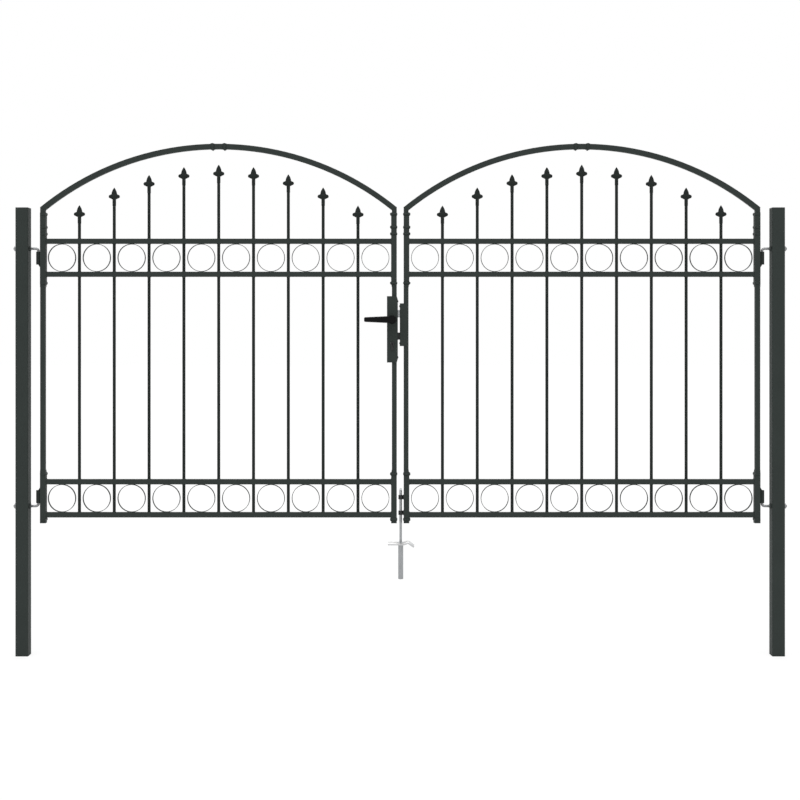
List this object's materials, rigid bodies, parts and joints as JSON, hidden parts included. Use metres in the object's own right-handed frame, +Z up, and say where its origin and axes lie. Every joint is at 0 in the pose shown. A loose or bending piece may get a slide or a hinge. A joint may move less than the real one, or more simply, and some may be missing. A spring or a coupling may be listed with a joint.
{
  "type": "steel fence gate",
  "caption": "Arched double-leaf garden gate of anthracite steel tube: ring bands, spear-topped pickets, lever lock, drop bolt and square posts.",
  "frame": {"origin": "middle of the left post's foot face, at the bottom of its buried length", "axes": "+X along the gate to the right post, +Y from the front to the back, +Z up"},
  "size_m": [3.024, 0.1238, 2.0021],
  "materials": {
    "powder_coat": "anthracite powder coat, fine texture",
    "zinc_steel": "zinc-plated steel, dull",
    "dark_zinc": "dark plated steel",
    "bright_zinc": "bright galvanized strip",
    "lever_black": "black moulded grip",
    "cap_plastic": "anthracite moulded cap"
  },
  "bodies": {
    "posts": {"left_post": "powder_coat", "right_post": "powder_coat", "left_post_cap": "cap_plastic", "right_post_cap": "cap_plastic", "left_hinge_bolts": "zinc_steel", "right_hinge_bolts": "zinc_steel", "left_hinge_nuts": "dark_zinc", "right_hinge_nuts": "dark_zinc", "ground_socket": "zinc_steel", "socket_anchor": "bright_zinc"},
    "left_leaf": {"left_hinge_stile": "powder_coat", "left_meeting_stile": "powder_coat", "left_arch": "powder_coat", "left_arch_splice": "powder_coat", "left_upper_rails": "powder_coat", "left_lower_rails": "powder_coat", "left_pickets": "powder_coat", "left_spear_tips": "powder_coat", "left_upper_rings": "powder_coat", "left_lower_rings": "powder_coat", "left_stile_sleeves": "powder_coat", "left_hinge_barrels": "powder_coat", "lock_case": "powder_coat", "lock_cylinder": "dark_zinc", "lever_rosettes": "lever_black"},
    "right_leaf": {"right_hinge_stile": "powder_coat", "right_meeting_stile": "powder_coat", "right_arch": "powder_coat", "right_arch_splice": "powder_coat", "right_upper_rails": "powder_coat", "right_lower_rails": "powder_coat", "right_pickets": "powder_coat", "right_spear_tips": "powder_coat", "right_upper_rings": "powder_coat", "right_lower_rings": "powder_coat", "right_stile_sleeves": "powder_coat", "right_hinge_barrels": "powder_coat", "strike_channel": "powder_coat", "drop_bolt_guides": "dark_zinc"},
    "lever": {"lever_handle": "lever_black"},
    "latch": {"latch_bolt": "zinc_steel"},
    "dead_bolt": {"dead_bolt": "dark_zinc"},
    "drop_bolt": {"drop_rod": "zinc_steel"}
  },
  "joints": [
    {"name": "left_leaf_swing", "type": "hinge", "parent": "posts", "child": "left_leaf", "pos_m": [0.05925, 0, 1.0865], "axis": [0, 0, 1], "range_deg": [-90, 90]},
    {"name": "right_leaf_swing", "type": "hinge", "parent": "posts", "child": "right_leaf", "pos_m": [2.89075, 0, 1.0865], "axis": [0, 0, -1], "range_deg": [-90, 90]},
    {"name": "lever_turn", "type": "hinge", "parent": "left_leaf", "child": "lever", "pos_m": [1.444, 0, 1.3125], "axis": [0, -1, 0], "range_deg": [0, 40], "stiffness_Nm_per_rad": 1, "springref_deg": -22.92},
    {"name": "latch_slide", "type": "slide", "parent": "left_leaf", "child": "latch", "axis": [-1, 0, 0], "range_m": [0, 0.016]},
    {"name": "dead_bolt_slide", "type": "slide", "parent": "left_leaf", "child": "dead_bolt", "axis": [-1, 0, 0], "range_m": [0, 0.016]},
    {"name": "drop_bolt_slide", "type": "slide", "parent": "right_leaf", "child": "drop_bolt", "axis": [0, 0, 1], "range_m": [0, 0.06]}
  ],
  "couplings": [
    {"joint": "latch_slide", "follows": "lever_turn", "m_per_rad": 0.0229}
  ]
}
